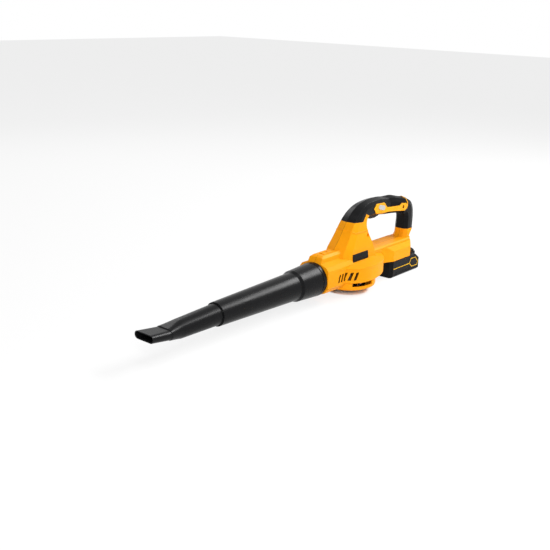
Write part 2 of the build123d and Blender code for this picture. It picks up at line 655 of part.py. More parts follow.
def make_intake():
    bowl = revolve(bowl_profile(0), Axis.Z)
    bowl -= revolve(bowl_profile(BOWL_WALL), Axis.Z)
    bowl -= disc(BOWL_HOLE_R, (0, DRUM_BOTTOM))
    slot_ring = disc(BOWL_R + 5, (BOWL_SLOT_Z, DRUM_BOTTOM + 1)) - disc(BOWL_R - 12, (0, SEAM))
    spread = math.radians(BOWL_SLOT_ANGLE / 2)
    far = 90.0
    wedge = plan_prism([(0, 0), (far * math.cos(spread), -far * math.sin(spread)),
                        (far * math.cos(spread), far * math.sin(spread))], (0, 40))
    for turn in (BOWL_SLOT_TURN, -BOWL_SLOT_TURN):
        bowl -= Rot(Z=turn) * (slot_ring & wedge)
    lugs = bowl_ring(disc(5.0, (SEAT_Z - 2, DRUM_BOTTOM), BOWL_R - LUG_IN))
    holes = bowl_ring(disc(SCREW_R + 0.15, (-1, SEAM), BOWL_R - LUG_IN))
    pockets = bowl_ring(disc(SCREW_HEAD_R + 0.3, (-1, SEAT_Z), BOWL_R - LUG_IN))
    for lug in lugs:
        bowl += lug
    for cut in holes + pockets:
        bowl -= cut
    save("intake_bowl", bowl)
    save("intake_guard", make_guard())
    screw = disc(SCREW_R, (SEAT_Z, DRUM_BOTTOM + SHELL + 0.8), BOWL_R - LUG_IN)
    screw += disc(SCREW_HEAD_R, (SEAT_Z - SCREW_HEAD_T, SEAT_Z), BOWL_R - LUG_IN)
    return bowl_ring(screw)


def make_guard():
    """Domed guard in the bowl: a flange, rings and bars cut from a thin ball."""
    z = BOWL_BASE_Z + BOWL_WALL + SEAT
    edge = BOWL_HOLE_R - FIT
    ball = (edge**2 + z**2) / (2 * z)
    shell = Pos(0, 0, ball) * (Sphere(ball) - Sphere(ball - GRILLE_T))
    pattern = disc(GRILLE_HUB_R, (0, z + GRILLE_T)) + (disc(edge, (0, z + GRILLE_T)) - disc(edge - 3, (-1, SEAM)))
    for i in range(GRILLE_RINGS):
        r = GRILLE_HUB_R + (edge - GRILLE_HUB_R) * (i + 1) / (GRILLE_RINGS + 1)
        pattern += disc(r, (0, z + GRILLE_T)) - disc(r - GRILLE_BAR, (-1, SEAM))
    for i in range(GRILLE_BARS):
        half = GRILLE_BAR / 2
        pattern += Rot(Z=180 * i / GRILLE_BARS) * box((-edge, edge), (-half, half), (0, z + GRILLE_T))
    flange = disc(GRILLE_R, (z, z + GRILLE_T)) - disc(edge - 3, (0, SEAM))
    return (shell & pattern) + flange


# ================================================================ air tube and nozzle
def turned(points):
    """Turn a profile of (x, radius) about the tube's axis."""
    face = Plane(origin=(0, 0, AXIS_Z), x_dir=(1, 0, 0), z_dir=(0, -1, 0)) * Polygon(*points, align=None)
    return revolve(face, Axis((0, 0, AXIS_Z), (1, 0, 0)))


def make_tube():
    rear = OUTLET_X - FIT
    front = OUTLET_X - COLLAR_LEN
    neck = front - COLLAR_STEP
    end = neck - TUBE_LEN
    groove = rear - GROOVE_AT
    lip = COLLAR_R - GROOVE_DEPTH
    outside = [(rear, 0), (rear, COLLAR_R - 0.8), (rear - 0.8, COLLAR_R), (groove, COLLAR_R), (groove, lip),
               (groove - GROOVE_W, lip), (groove - GROOVE_W, COLLAR_R - 0.2), (front, COLLAR_FRONT_R),
               (neck, TUBE_REAR_R), (end, TUBE_FRONT_R), (end, 0)]
    bore = SPIGOT_R + FIT
    seat = OUTLET_X - SPIGOT_LEN - 4
    inside = [(rear + 1, 0), (rear + 1, bore), (seat, bore), (seat - 4, TUBE_REAR_R - TUBE_WALL),
              (neck, TUBE_REAR_R - TUBE_WALL), (end - 1, TUBE_FRONT_R - TUBE_WALL), (end - 1, 0)]
    save("upper_tube", turned(outside) - turned(inside))
    return end


def nozzle_section(x, width, height, z, round_part, inset):
    """One rounded section of the nozzle; round_part 1 is a circle."""
    w, h = width - 2 * inset, height - 2 * inset
    plane = Plane(origin=(x, 0, z), x_dir=(0, 1, 0), z_dir=(-1, 0, 0))
    radius = min(w, h) / 2 * round_part
    return plane * RectangleRounded(w, h, radius)


def make_nozzle(end):
    """Nozzle that tucks into the tube and flattens into a wide tip."""
    inner = TUBE_FRONT_R - TUBE_WALL - FIT
    mid = end - NOZZLE_ROUND_LEN
    throat = mid - NECK_LEN
    mouth = throat - TIP_LEN
    almost = 0.96
    round_w = 2 * (inner - NOZZLE_SHOULDER)
    # the underside stays nearly straight while the top comes down to the flat tip
    stations = [(end, round_w, round_w, AXIS_Z, almost)]
    for k in range(NECK_STEPS + 1):
        t = k / NECK_STEPS
        width = NOZZLE_MID_W + (THROAT_W - NOZZLE_MID_W) * t**2
        height = NOZZLE_MID_H + (THROAT_H - NOZZLE_MID_H) * t
        drop = NOZZLE_MID_DROP + (THROAT_DROP - NOZZLE_MID_DROP) * t
        stations.append((mid - NECK_LEN * t, width, height, AXIS_Z - drop, almost))
    tip = [
        (throat, THROAT_W, THROAT_H - 2 * TIP_STEP, AXIS_Z - THROAT_DROP, almost),
        (mouth, TIP_W, TIP_H, AXIS_Z + TIP_RISE, almost),
    ]

    def body(inset):
        low = loft([nozzle_section(*s, inset) for s in stations], ruled=True)
        return low + loft([nozzle_section(*s, inset) for s in tip], ruled=True)

    tuck = tube_along_x(inner, (end, end + NOZZLE_TUCK)) - tube_along_x(
        inner - TUBE_WALL, (end - 1, end + NOZZLE_TUCK + 1))
    shell = body(0) - body(TUBE_WALL)
    opening = nozzle_section(mouth + 0.01, TIP_W, TIP_H, AXIS_Z + TIP_RISE, almost, TUBE_WALL)
    shell -= extrude(opening, 1, both=True)
    save("front_nozzle", shell + tuck)
    return mouth


# ================================================================ battery
def pack_block(inset, z):
    """The pack's box with cut corners and a sloping rear end."""
    c = PACK_CORNER
    w = PACK_W - inset
    rear = PACK_FRONT_X + PACK_LEN
    x0, x1 = PACK_FRONT_X + inset, rear - inset
    plan = [(x0, w - c), (x0 + c, w), (x1 - c, w), (x1, w - c)]
    corners = []
    for (length, drop), edge, way in ((PACK_REAR_LOW, 0, 1), (PACK_REAR_TOP, PACK_TOP, -1)):
        slip = inset * math.hypot(length, drop) / drop
        ends = [(rear - slip - length, edge), (x1, edge + way * (drop + (slip - inset) * drop / length))]
        corners += ends if way > 0 else ends[::-1]
    side = side_prism([(x0, 0)] + corners + [(x0, PACK_TOP)], SEAM)
    return plan_prism(plan_mirrored(plan), z) & side


def button_mount(inset):
    """Block on the pack's sloping rear end that carries the release button."""
    w = BUTTON_W + 2.0 - inset
    x = (BUTTON_FRONT_X - 8, BUTTON_FRONT_X + BUTTON_LEN + 2.2 - inset)
    return box(x, (-w, w), (PACK_SPLIT_Z - (1 if inset else 0), PACK_TOP - inset))


def button_space(gap, z):
    x0 = BUTTON_FRONT_X
    w = BUTTON_W + gap
    return box((x0 - gap, x0 + BUTTON_LEN + gap), (-w, w), z)


def make_battery():
    lower = pack_block(0, (0, PACK_SPLIT_Z))
    lower = chamfer(lower.edges().group_by(Axis.Z)[0].filter_by(Axis.X), 3.0)
    lower -= pack_block(PACK_WALL, (PACK_WALL, PACK_SPLIT_Z + 1))
    lower -= battery_trim(SEAT)
    save("battery_lower_case", lower)
    upper = pack_block(0, (PACK_SPLIT_Z, PACK_TOP))
    upper = chamfer(upper.edges().group_by(Axis.Z)[-1], 1.5) + button_mount(0)
    upper = upper - pack_block(PACK_WALL, (PACK_SPLIT_Z - 1, PACK_TOP - PACK_WALL)) - button_mount(PACK_WALL)
    neck_top = DOCK_BOTTOM + RAIL_T
    upper += box((NECK_FRONT_X, NECK_REAR_X), (-NECK_WAIST, NECK_WAIST), (PACK_TOP - 1, NECK_TOP))
    upper += box((NECK_FRONT_X, NECK_REAR_X), (-NECK_W, NECK_W), (neck_top + FIT, NECK_TOP))
    upper -= box((NECK_FRONT_X + 22, NECK_REAR_X - 3), (-NECK_WAIST + 3, NECK_WAIST - 3),
                 (PACK_TOP - PACK_WALL - 1, NECK_TOP - 2.5))
    for y in contact_rows():
        upper -= box((NECK_FRONT_X - 1, NECK_FRONT_X + 20), (y - 1.6, y + 1.6), (neck_top + 1, NECK_TOP - 1))
    upper -= button_space(FIT, (PACK_TOP - 9, SEAM))
    cup = button_space(FIT + 1.5, (PACK_TOP - 11, PACK_TOP - 1)) - button_space(FIT, (PACK_TOP - 9, SEAM))
    upper += cup
    upper -= battery_trim(SEAT)
    save("battery_upper_case", upper)
    cells = []
    for row in range(2):
        z = PACK_WALL + 0.5 + CELL_R + row * CELL_PITCH * math.sin(math.radians(60))
        first = PACK_FRONT_X + CELL_START + (0.5 - row * 0.5) * CELL_PITCH
        for i in range(CELL_COLUMNS):
            x = first + i * CELL_PITCH
            cells.append(cross_pin(CELL_R, x, z, (-CELL_LEN / 2, CELL_LEN / 2)))
    save("battery_cells", cells)
    save("battery_trim", battery_trim(0))
    clips = []
    for y in contact_rows():
        x = (NECK_FRONT_X + 2, NECK_FRONT_X + 19)
        z = (neck_top + 1.2, neck_top + 1.2 + BLADE_H)
        clip = box(x, (y - 1.5, y + 1.5), z) - box((x[0] - 1, x[1] - 1), (y - 0.9, y + 0.9), (0, SEAM))
        clips.append(clip)
    save("battery_contacts", clips)
    button = button_space(0, (PACK_TOP - BUTTON_TRAVEL - 2.5, BUTTON_TOP))
    x = BUTTON_FRONT_X + BUTTON_LEN
    slope = [(x - 12, BUTTON_TOP), (x, BUTTON_TOP - BUTTON_STEP), (x + 9, BUTTON_TOP - BUTTON_STEP),
             (x + 9, BUTTON_TOP + 9), (x - 12, BUTTON_TOP + 9)]
    button -= side_prism(slope, SEAM)
    button = chamfer([e for e in button.edges() if abs(e.center().Y) > BUTTON_W - 0.1 and
                      e.center().Z > BUTTON_TOP - BUTTON_STEP], 1.5)
    save("battery_release_button", button)
    x = BUTTON_FRONT_X + BUTTON_LEN / 2
    low = PACK_TOP - 9
    coils = [spring(2.2, 0.35, low, PACK_TOP - BUTTON_TRAVEL - 2.6, x, y, 3) for y in (-8, 8)]
    save("battery_release_springs", coils)


def battery_trim(gap):
    """Coloured line let into both sides of the pack, with a many-sided loop at its rear end."""
    loop = TRIM_LOOP + [TRIM_LOOP[0]]
    line = [(PACK_FRONT_X + PACK_CORNER + 2, TRIM_Z), (TRIM_LOOP[0][0] + 1, TRIM_Z)]
    wide = TRIM_LINE_W + 2 * gap
    strip = extrude(Plane.XZ * trace(Polyline(*loop), wide), SEAM, both=True)
    strip += extrude(Plane.XZ * trace(Line(*line), wide), SEAM, both=True)
    sides = pack_block(0, (0, PACK_TOP)) - pack_block(TRIM_DEPTH + gap, (-1, PACK_TOP + 1))
    return strip & sides


def contact_rows():
    return [(i - (CONTACTS - 1) / 2) * CONTACT_PITCH for i in range(CONTACTS)]


def make_terminal_block():
    """Block in the dock whose blades enter the battery's neck."""
    z0 = DOCK_BOTTOM + RAIL_T + SEAT
    x1 = TERMINAL_X + TERMINAL_LEN
    block = box((TERMINAL_X, x1), (-NECK_W + 2, NECK_W - 2), (z0, TERMINAL_TOP))
    save("dock_terminal_block", block)
    blades = []
    for y in contact_rows():
        z = DOCK_BOTTOM + RAIL_T + 2
        blades.append(box((x1, x1 + BLADE_LEN), (y - BLADE_T / 2, y + BLADE_T / 2), (z, z + BLADE_H)))
    save("dock_blades", blades)


# ================================================================ tube lock
def latch_space():
    return box((LATCH_X[0] - FIT, LATCH_X[1] + FIT), (-LATCH_W - FIT, LATCH_W + FIT),
               (SPINE_TOP - LATCH_T - 4, SPINE_TOP + 5))


def make_latch():
    top = SPINE_TOP + LATCH_PROUD
    key = box(LATCH_X, (-LATCH_W, LATCH_W), (SPINE_TOP - LATCH_T + 1, top))
    key = fillet(key.edges().group_by(Axis.Z)[-1], 1.0)
    key -= box((LATCH_X[0] + 7, LATCH_X[0] + 17), (-LATCH_W + 2, LATCH_W - 2), (top - 1.2, top + 1))
    save("tube_lock_button", key)
    x = sum(LATCH_X) / 2
    floor = SPINE_TOP - LATCH_T - 4
    save("tube_lock_spring", spring(2.6, 0.4, floor, SPINE_TOP - LATCH_T + 0.9, x, 0, 3))


# ================================================================ electronics and leads
def make_electronics():
    """Control board with its heat sink and capacitor, and the leads that meet it."""
    y = BOARD_Y
    x0, z0 = BOARD_X[0], BOARD_Z[0]
    save("control_board", box(BOARD_X, (y, y + 1.6), BOARD_Z))
    sink = box((x0 + 4, x0 + 22), (y - 7, y), (z0 + 2, z0 + 18))
    for i in range(5):
        x = x0 + 5.5 + i * 3.6
        sink -= box((x, x + 1.8), (y - 8, y - 2), (0, SEAM))
    save("heat_sink", sink)
    save("capacitor", disc(4.0, (z0 + 2, z0 + 14), x0 + 29, y - 4.2))
    mid = y + 0.8
    motor = []
    for i in range(3):
        x = x0 + 2 + i * 5
        motor.append(lead([(x, 13, MOTOR_TOP + SEAT), (x, 13, MOTOR_TOP + 4), (x, mid, z0 - 4),
                           (x, mid, z0 - SEAT)]))
    save("motor_leads", motor)
    power = []
    for i in range(2):
        start = TERMINAL_X + 2 + i * 5
        run = DECK_Z - SHELL - 5 + i * 3
        power.append(lead([(start, mid, TERMINAL_TOP + SEAT), (start, mid, run), (30 + i * 5, mid, run),
                           (30 + i * 5, mid, run + 22), (22 + i * 4, mid, run + 36),
                           (22 + i * 4, mid, z0 - SEAT)]))
    save("power_leads", power)
    switch = []
    for i in range(2):
        low, high = 174.5 - i * 2.6, 178.6 - i * 2.4
        x = SWITCH_X[0]
        switch.append(lead([(x - SEAT, mid, low), (x - 4, mid, low), (x - 9, mid, high),
                            (60, mid, high), (28 - i * 7, mid, 157), (28 - i * 7, mid, BOARD_Z[1] + SEAT)]))
    save("switch_leads", switch)


def lead(points):
    """A short wire: straight runs joined by tangent arcs."""
    path = FilletPolyline(*points, radius=LEAD_R * 2)
    return sweep(Plane(origin=path @ 0, z_dir=path % 0) * Circle(LEAD_R), path)


# ================================================================ assembly
def main():
    os.makedirs("parts", exist_ok=True)
    outer = handle_loop(0)
    core = handle_loop(SKIN)
    hollow = handle_loop(SKIN + SHELL)
    covered = side_prism(COVER_EDGE, 60)
    make_housing(outer, core, hollow, covered)
    make_covers(outer, core, covered)
    make_plates(outer)
    make_trigger()
    make_lock()
    make_fan()
    make_motor()
    make_plate()
    bowl_screws = make_intake()
    end = make_tube()
    make_nozzle(end)
    make_battery()
    make_terminal_block()
    make_latch()
    make_electronics()
    screws = []
    for screw in SCREWS:
        screws.append(screw_shape(screw, SCREW_HEAD_R, SCREW_R, 0))
    save("housing_screws", screws)
    save("intake_screws", bowl_screws)


main()
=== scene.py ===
# %% [markdown]
# A cordless leaf blower, dressed in Blender around its CAD model.
# The CAD gives every piece its place, in metres, so nothing here is fitted by eye.
# The fan stands on the origin, the nozzle points to -X, the battery sits at +X and the seam is Y = 0.

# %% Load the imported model
import bpy
import json
import math
from mathutils import Matrix, Vector
from mathutils.bvhtree import BVHTree


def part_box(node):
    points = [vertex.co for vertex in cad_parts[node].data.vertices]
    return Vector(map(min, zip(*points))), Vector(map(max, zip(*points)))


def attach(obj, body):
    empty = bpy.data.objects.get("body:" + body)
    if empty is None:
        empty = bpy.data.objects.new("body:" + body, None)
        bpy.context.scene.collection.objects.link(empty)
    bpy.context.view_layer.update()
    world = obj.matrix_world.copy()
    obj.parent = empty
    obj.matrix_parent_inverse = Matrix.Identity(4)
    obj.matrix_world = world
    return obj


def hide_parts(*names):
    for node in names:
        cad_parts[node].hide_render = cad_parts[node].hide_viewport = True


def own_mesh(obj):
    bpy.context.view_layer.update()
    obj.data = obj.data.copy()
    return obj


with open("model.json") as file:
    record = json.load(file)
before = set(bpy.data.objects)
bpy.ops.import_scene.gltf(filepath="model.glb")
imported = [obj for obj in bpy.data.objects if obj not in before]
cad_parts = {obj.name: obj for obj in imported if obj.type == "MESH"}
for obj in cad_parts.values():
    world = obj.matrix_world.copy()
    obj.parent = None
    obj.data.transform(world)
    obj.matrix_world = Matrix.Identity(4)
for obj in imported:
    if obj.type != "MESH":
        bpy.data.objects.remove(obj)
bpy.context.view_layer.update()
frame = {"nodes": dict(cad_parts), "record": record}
nodes = frame["nodes"]

# %% [markdown]
# Every finish on the blower is moulded plastic, rubber or metal, and they share most of their make-up:
# a colour that drifts a little, a fine moulded texture in the bump, and a roughness that is never even.
# One function builds all of them, so that each finish below is only its own numbers.
# The Bevel node rounds the shading of sharp corners, as a mould's corners are rounded on the real thing.

# %% The shared recipe for a moulded or metal surface
def add_node(tree, kind, **values):
    node = tree.nodes.new(kind)
    for name, value in values.items():
        setattr(node, name, value)
    return node


def noise(tree, coords, scale, detail=3.0, rough=0.5):
    node = add_node(tree, "ShaderNodeTexNoise")
    node.inputs["Scale"].default_value = scale
    node.inputs["Detail"].default_value = detail
    node.inputs["Roughness"].default_value = rough
    tree.links.new(coords, node.inputs["Vector"])
    return node.outputs["Fac"]


def spread(tree, fac, low, high):
    """Send a noise's middle range to two chosen numbers."""
    node = add_node(tree, "ShaderNodeMapRange")
    node.inputs["From Min"].default_value = 0.3
    node.inputs["From Max"].default_value = 0.7
    node.inputs["To Min"].default_value = low
    node.inputs["To Max"].default_value = high
    tree.links.new(fac, node.inputs["Value"])
    return node.outputs["Result"]


def mix_colour(tree, fac, a, b):
    node = add_node(tree, "ShaderNodeMix", data_type="RGBA")
    for socket, colour in ((node.inputs[6], a), (node.inputs[7], b)):
        if isinstance(colour, tuple):
            socket.default_value = (*colour, 1)
        else:
            tree.links.new(colour, socket)
    tree.links.new(fac, node.inputs[0])
    return node.outputs[2]


def finish_of(name, colour, worn, rough=(0.35, 0.5), grain=1400, grain_depth=0.1, metallic=0.0,
              corner=0.0008, specular=0.5, seam=False, vents=False):
    """A procedural finish: drifting colour, paler worn corners, moulded grain and uneven roughness, with a
    dark parting line and painted vent shade where asked.
    """
    material = bpy.data.materials.new(name)
    material.use_nodes = True
    tree = material.node_tree
    shader = tree.nodes["Principled BSDF"]
    coords = add_node(tree, "ShaderNodeTexCoord").outputs["Object"]
    drift = noise(tree, coords, 9, 4)
    grain_fac = noise(tree, coords, grain, 2)
    smudge = noise(tree, coords, 38, 5, 0.6)
    darker = tuple(c * 0.88 for c in colour)
    body = mix_colour(tree, spread(tree, drift, 0, 1), darker, colour)
    rounded = add_node(tree, "ShaderNodeBevel", samples=4)
    rounded.inputs["Radius"].default_value = corner
    geometry = add_node(tree, "ShaderNodeNewGeometry")
    apart = add_node(tree, "ShaderNodeVectorMath", operation="DISTANCE")
    tree.links.new(rounded.outputs["Normal"], apart.inputs[0])
    tree.links.new(geometry.outputs["Normal"], apart.inputs[1])
    edge = add_node(tree, "ShaderNodeMath", operation="MULTIPLY", use_clamp=True)
    tree.links.new(apart.outputs["Value"], edge.inputs[0])
    tree.links.new(spread(tree, smudge, 0.0, 0.9), edge.inputs[1])
    painted = mix_colour(tree, edge.outputs["Value"], body, worn)
    if seam:
        painted = mix_colour(tree, parting_line(tree, coords), painted, tuple(c * 0.25 for c in colour))
    # painted shade: the walls of the vents are darkened to 12% of the colour
    if vents:
        painted = mix_colour(tree, painted_vent_shade(tree, coords), painted, tuple(c * 0.12 for c in colour))
    tree.links.new(painted, shader.inputs["Base Color"])
    tree.links.new(spread(tree, smudge, *rough), shader.inputs["Roughness"])
    bump = add_node(tree, "ShaderNodeBump")
    bump.inputs["Strength"].default_value = grain_depth
    bump.inputs["Distance"].default_value = 0.0004
    tree.links.new(grain_fac, bump.inputs["Height"])
    tree.links.new(rounded.outputs["Normal"], bump.inputs["Normal"])
    tree.links.new(bump.outputs["Normal"], shader.inputs["Normal"])
    shader.inputs["Metallic"].default_value = metallic
    shader.inputs["Specular IOR Level"].default_value = specular
    return material


def parting_line(tree, coords):
    """1 within a quarter of a millimetre of the plane where the two housing halves meet."""
    split = add_node(tree, "ShaderNodeSeparateXYZ")
    tree.links.new(coords, split.inputs[0])
    off = add_node(tree, "ShaderNodeMath", operation="ABSOLUTE")
    tree.links.new(split.outputs["Y"], off.inputs[0])
    near = add_node(tree, "ShaderNodeMath", operation="LESS_THAN")
    tree.links.new(off.outputs[0], near.inputs[0])
    near.inputs[1].default_value = 0.00025
    return near.outputs[0]


def painted_vent_shade(tree, coords):
    """1 on the walls of the leaning vents, where shade is painted into the colour because little light
    reaches them.
    """
    def sum_of(operation, a, b):
        node = add_node(tree, "ShaderNodeMath", operation=operation)
        for socket, value in zip(node.inputs, (a, b)):
            if isinstance(value, float):
                socket.default_value = value
            else:
                tree.links.new(value, socket)
        return node.outputs[0]

    split = add_node(tree, "ShaderNodeSeparateXYZ")
    tree.links.new(coords, split.inputs[0])
    x, z = split.outputs["X"], split.outputs["Z"]
    up = sum_of("SUBTRACT", z, VENT_HEIGHT)
    along = sum_of("SUBTRACT", sum_of("SUBTRACT", x, VENT_FIRST - VENT_PITCH / 2),
                   sum_of("MULTIPLY", up, math.tan(math.radians(VENT_LEAN))))
    within = sum_of("FLOORED_MODULO", along, VENT_PITCH)
    place = sum_of("ABSOLUTE", sum_of("SUBTRACT", within, VENT_PITCH / 2), 0.0)
    in_slot = sum_of("LESS_THAN", place, VENT_WIDE / 2 + 0.0002)
    in_height = sum_of("LESS_THAN", sum_of("ABSOLUTE", up, 0.0), VENT_TALL / 2 + 0.0001)
    past_first = sum_of("GREATER_THAN", along, 0.0)
    before_last = sum_of("LESS_THAN", along, 5 * VENT_PITCH)
    in_row = sum_of("MULTIPLY", past_first, before_last)
    return sum_of("MULTIPLY", sum_of("MULTIPLY", in_slot, in_height), in_row)


# the vents' place on the fan drum, the same on both sides, which also places the painted shade in them
VENT_FIRST, VENT_PITCH, VENT_LEAN = -0.079, 0.0097, 16.0
VENT_WIDE, VENT_TALL, VENT_HEIGHT = 0.0046, 0.0174, 0.04675
FINISH = {
    "yellow": finish_of("housing_yellow", (0.92, 0.34, 0.004), (0.98, 0.5, 0.03), (0.34, 0.48), 1500, 0.06,
                        specular=0.07, seam=True, vents=True),
    "accent": finish_of("accent_yellow", (0.95, 0.5, 0.002), (0.98, 0.62, 0.03), (0.34, 0.48), 1500, 0.05,
                        specular=0.06),
    "black": finish_of("cover_black", (0.006, 0.006, 0.0065), (0.02, 0.02, 0.021), (0.22, 0.32), 1700, 0.05,
                       specular=0.085, seam=True),
    "grip": finish_of("soft_grip", (0.006, 0.006, 0.0065), (0.015, 0.015, 0.015), (0.34, 0.48), 900, 0.25,
                      specular=0.02, seam=True),
    "tube": finish_of("tube_black", (0.005, 0.005, 0.0055), (0.02, 0.02, 0.021), (0.24, 0.31), 1300, 0.03,
                      specular=0.1),
    "trigger": finish_of("trigger_black", (0.02, 0.012, 0.009), (0.05, 0.04, 0.035), (0.35, 0.5), 1400, 0.1,
                         specular=0.15),
    "grey": finish_of("plain_grey", (0.1, 0.1, 0.105), (0.22, 0.22, 0.22), (0.35, 0.5), 1400, 0.1),
    "frame": finish_of("frame_yellow", (0.93, 0.4, 0.004), (0.98, 0.55, 0.03), (0.34, 0.48), 1500, 0.05,
                       specular=0.1),
    "lock": finish_of("lock_pale_grey", (0.5, 0.49, 0.47), (0.62, 0.62, 0.6), (0.35, 0.5), 1400, 0.1),
    "steel": finish_of("screw_steel", (0.45, 0.45, 0.47), (0.7, 0.7, 0.7), (0.25, 0.4), 2500, 0.06,
                       1.0, 0.0003),
    "spring": finish_of("spring_steel", (0.4, 0.4, 0.42), (0.6, 0.6, 0.6), (0.2, 0.35), 2500, 0.04,
                        1.0, 0.0001),
    "copper": finish_of("winding_copper", (0.6, 0.22, 0.08), (0.8, 0.4, 0.2), (0.25, 0.4), 2500, 0.2,
                        1.0, 0.0003),
    "brass": finish_of("contact_brass", (0.75, 0.5, 0.18), (0.9, 0.7, 0.4), (0.2, 0.35), 2500, 0.04,
                       1.0, 0.0002),
    "board": finish_of("board_green", (0.012, 0.09, 0.03), (0.1, 0.2, 0.1), (0.3, 0.4), 2200, 0.06),
    "aluminium": finish_of("sink_aluminium", (0.7, 0.71, 0.73), (0.85, 0.85, 0.85), (0.3, 0.45), 2200, 0.06,
                           1.0, 0.0002),
    "cell": finish_of("cell_sleeve", (0.02, 0.08, 0.25), (0.2, 0.3, 0.4), (0.25, 0.35), 1800, 0.04),
    "lead": finish_of("lead_sleeve", (0.02, 0.02, 0.02), (0.06, 0.06, 0.06), (0.4, 0.5), 1800, 0.06),
}
slot_of = {entry["node"]: entry["material_slot"] for entry in frame["record"]["subparts"]}
slot_of.update(speed_lock="lock", left_trigger_frame="frame", right_trigger_frame="frame")
for name, node in nodes.items():
    node.data.materials.clear()
    node.data.materials.append(FINISH[slot_of[name]])
print("finishes:", ", ".join(FINISH))

# %% [markdown]
# The nozzle is one blow-moulded skin that starts round inside the tube and ends as a wide flat slot.
# Lofts in CAD leave flats between their sections, and a moulded skin has none.
# So the skin is laid here as rings of points: outside from back to front, round the lip, and back inside.
# The rings take their lengths from the CAD node's box, so they can't drift from the solid they stand for.

# %% Nozzle skin
def piece(name, corners, faces, body, slot, smooth=True):
    """A mesh-coded piece that rides on a CAD body and wears one of the finishes."""
    mesh = bpy.data.meshes.new(name)
    mesh.from_pydata([tuple(c) for c in corners], [], faces)
    mesh.validate()
    mesh.update()
    mesh.materials.append(FINISH[slot])
    for polygon in mesh.polygons:
        polygon.use_smooth = smooth
    thing = bpy.data.objects.new(name, mesh)
    bpy.context.scene.collection.objects.link(thing)
    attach(thing, body)
    return thing


def stadium(angle, width, height):
    """The point of a slot with full round ends, seen from its middle under an angle."""
    across, up = math.cos(angle), math.sin(angle)
    radius = height / 2
    flat = max(width - height, 0) / 2
    if abs(up) > 1e-9 and abs(across) * radius / abs(up) <= flat:
        reach = radius / abs(up)
    else:
        reach = abs(across) * flat + math.sqrt(max(radius**2 - (flat * up)**2, 0))
    return across * reach, up * reach


def between(low, high, t):
    return tuple(a + (b - a) * t for a, b in zip(low, high))


nozzle_low, nozzle_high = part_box("front_nozzle")
AXIS_HEIGHT = 0.048
RING = 96
CREASE = 32
WALL = 0.0018
tube_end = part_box("upper_tube")[0].x
mouth = nozzle_low.x
throat = mouth + 0.046
middle = throat + 0.031
# each section is (width, height, how far the middle sits above the axis), and a ring puts its x in front
TUCKED = (0.0426, 0.0426, 0.0)
AT_TUBE = (0.0416, 0.0416, 0.0)
AT_MIDDLE = (0.0385, 0.0348, -0.0016)
rings = [(nozzle_high.x, *TUCKED), (tube_end, *TUCKED), (tube_end, *AT_TUBE)]
for k in range(1, 13):
    t = k / 12
    rings.append((tube_end + (middle - tube_end) * t, *between(AT_TUBE, AT_MIDDLE, t)))
for k in range(1, 11):
    t = k / 10
    width = 0.0385 + 0.0045 * t**2
    height, lift = between((0.0348, -0.0016), (0.0213, -0.0007), t)
    rings.append((middle + (throat - middle) * t, width, height, lift))
for k in range(0, 15):
    t = k / 14
    rings.append((throat - 0.0008 + (mouth - throat + 0.0008) * t,
                  *between((0.0428, 0.0182, -0.0007), (0.047, 0.015, 0.0054), t)))
lip = rings[-1]
rings.append((mouth, lip[1] - 0.0014, lip[2] - 0.0014, lip[3]))
inside = [(x, w - 2 * WALL, h - 2 * WALL, lift) for x, w, h, lift in rings[:-1] if x != lip[0]]
inside.append((mouth + 0.0006, lip[1] - 2 * WALL, lip[2] - 2 * WALL, lip[3]))
skin = []
for x, w, h, lift in rings + inside[::-1]:
    for k in range(RING):
        y, z = stadium(2 * math.pi * k / RING, w, h)
        skin.append((x, y, AXIS_HEIGHT + lift + z))
count = len(skin) // RING
sides = []
for row in range(count):
    ahead_row = (row + 1) % count
    for k in range(RING):
        n = (k + 1) % RING
        sides.append((row * RING + k, row * RING + n, ahead_row * RING + n, ahead_row * RING + k))
nozzle = piece("nozzle_skin", skin, sides, "front_nozzle", "tube")
nozzle_edges = nozzle.modifiers.new("crisp_steps", "EDGE_SPLIT")
nozzle_edges.split_angle = math.radians(CREASE)
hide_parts("front_nozzle")
print("nozzle skin:", len(sides), "faces, mouth", round(lip[1] * 1000), "x", round(lip[2] * 1000), "mm")

# %% [markdown]
# The housing has small raised forms: a bead round the front post and a rib over the vents.
# They follow curved walls, so they are laid on: rays are shot at the CAD faces,
# and a strip is built on the hits.
# Every strip is then seated on its wall, even where the wall bends.

# %% Strips that are laid on a wall
def tree_of(*names):
    """One searchable surface made of several CAD nodes."""
    corners, faces = [], []
    for name in names:
        mesh = nodes[name].data
        first = len(corners)
        corners += [v.co.copy() for v in mesh.vertices]
        faces += [[first + i for i in p.vertices] for p in mesh.polygons]
    return BVHTree.FromPolygons(corners, faces)


def laid_strip(name, seats, profile, body, slot):
    """A closed strip over seats of (point, outward way, sideways way); profile holds (sideways, outward)."""
    corners, faces = [], []
    size = len(profile)
    for point, out, aside in seats:
        corners += [point + aside * a + out * o for a, o in profile]
    for row in range(len(seats) - 1):
        for k in range(size):
            n = (k + 1) % size
            faces.append((row * size + k, row * size + n, (row + 1) * size + n, (row + 1) * size + k))
    faces.append(tuple(range(size))[::-1])
    faces.append(tuple(range(len(corners) - size, len(corners))))
    return piece(name, corners, faces, body, slot, smooth=False)


def side_seats(surface, path, side, steps=10):
    """Seats along a path of (x, z) on the wall that a ray from that side meets first."""
    spots = [(a[0] + (b[0] - a[0]) * k / steps, a[1] + (b[1] - a[1]) * k / steps)
             for a, b in zip(path, path[1:]) for k in range(steps)] + [path[-1]]
    seats = []
    for x, z in spots:
        point, normal, _, _ = surface.ray_cast(Vector((x, side * 0.3, z)), Vector((0, -side, 0)))
        if point is not None:
            seats.append((point, Vector((normal.x, normal.y, 0)).normalized(), Vector((0, 0, 1))))
    return seats


housing = tree_of("left_housing", "right_housing")
